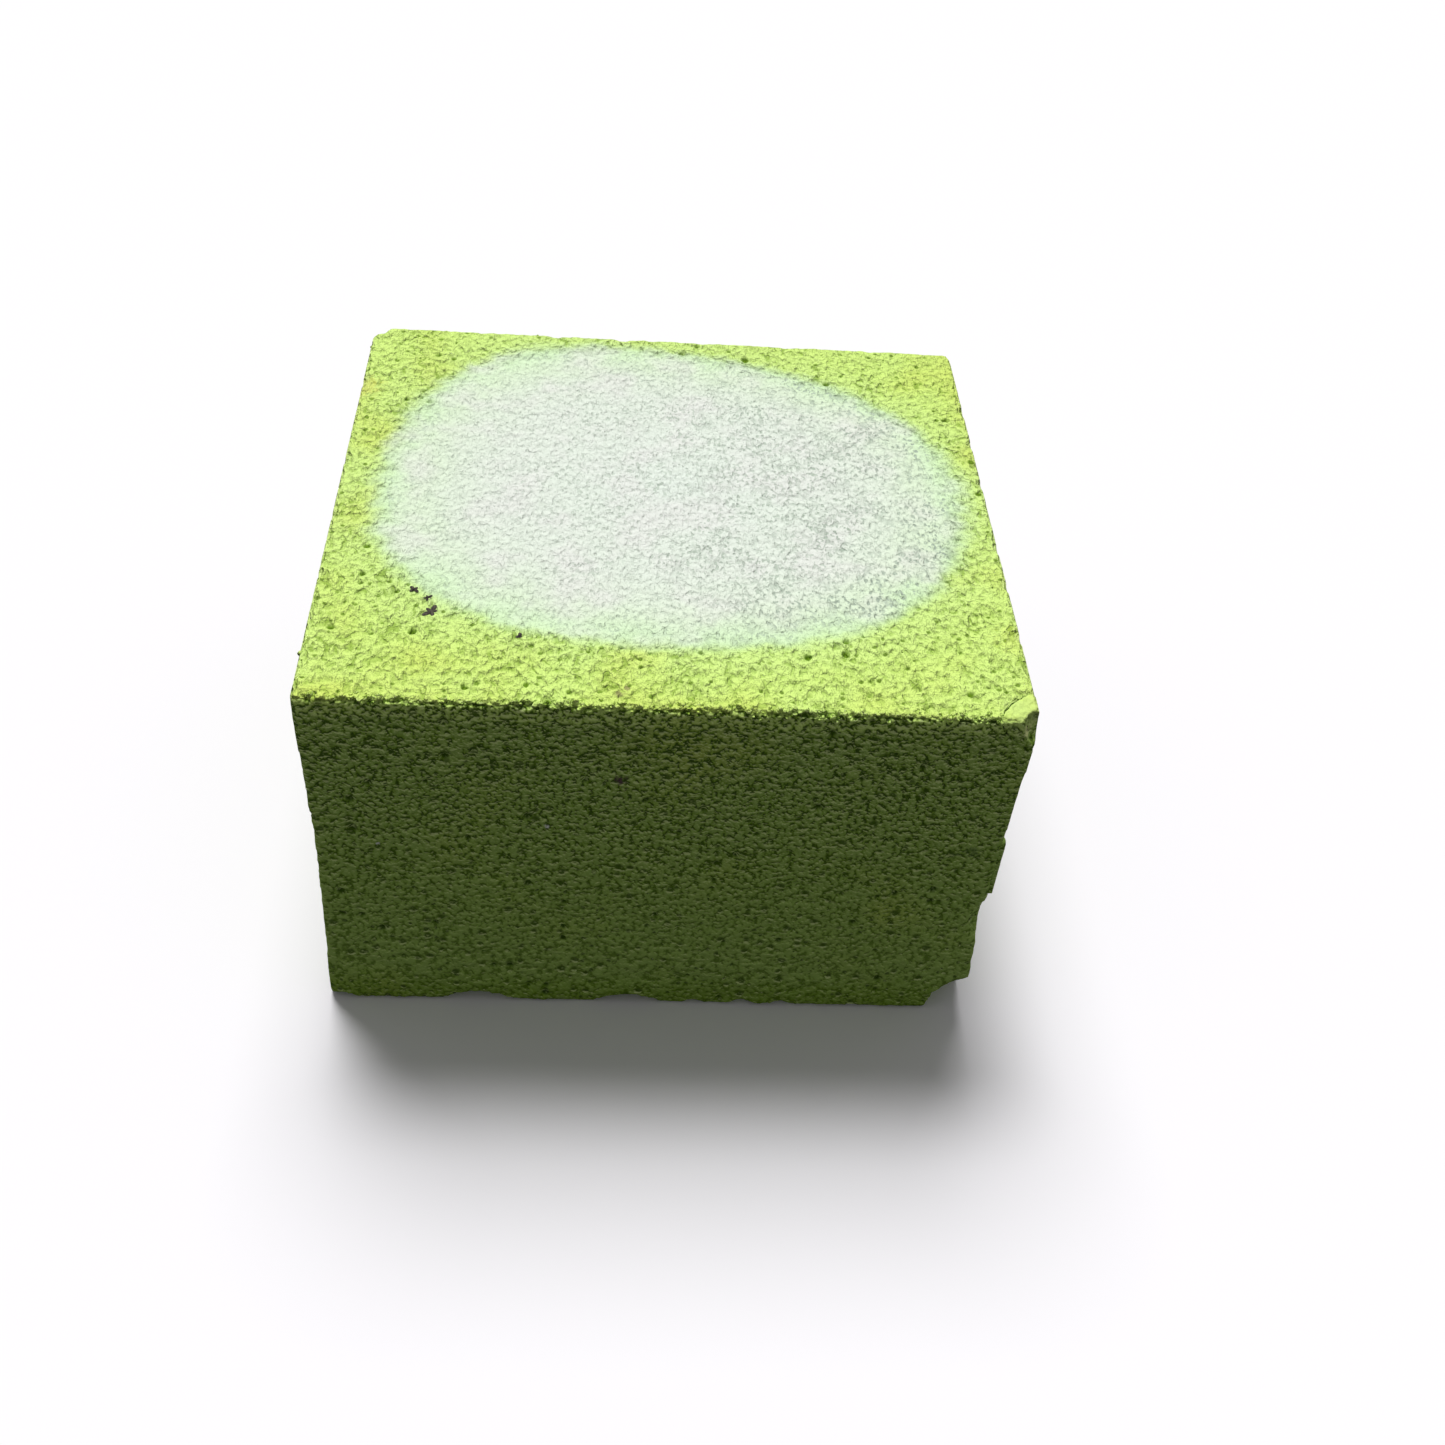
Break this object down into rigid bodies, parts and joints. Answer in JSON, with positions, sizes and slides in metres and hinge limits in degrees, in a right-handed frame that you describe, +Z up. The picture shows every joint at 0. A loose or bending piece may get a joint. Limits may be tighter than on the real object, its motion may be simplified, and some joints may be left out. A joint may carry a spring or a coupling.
{
  "type": "gymnastics chalk block",
  "caption": "Pressed block of green gym chalk with drawn-in sides, crumbled rims, a broken foot and an oval of white chalk rubbed on the top; it rests on its flat base.",
  "frame": {"origin": "middle of the flat base, on the surface that the block stands on", "axes": "+Z up through the top with the white oval, +X to the right along the width, front face towards -Y"},
  "size_m": [0.055, 0.052, 0.0353],
  "materials": {
    "green_chalk": "dry, porous, dead matt pressed chalk, dyed through",
    "white_chalk": "dry rubbed-on powder, dead matt",
    "dark_grit": "matt mineral grit"
  },
  "bodies": {
    "root": {"chalk_block": "green_chalk", "white_coat": "white_chalk", "corner_flake": "green_chalk", "side_flake": "green_chalk", "edge_crumbs": "green_chalk", "dark_grit": "dark_grit"}
  },
  "joints": []
}
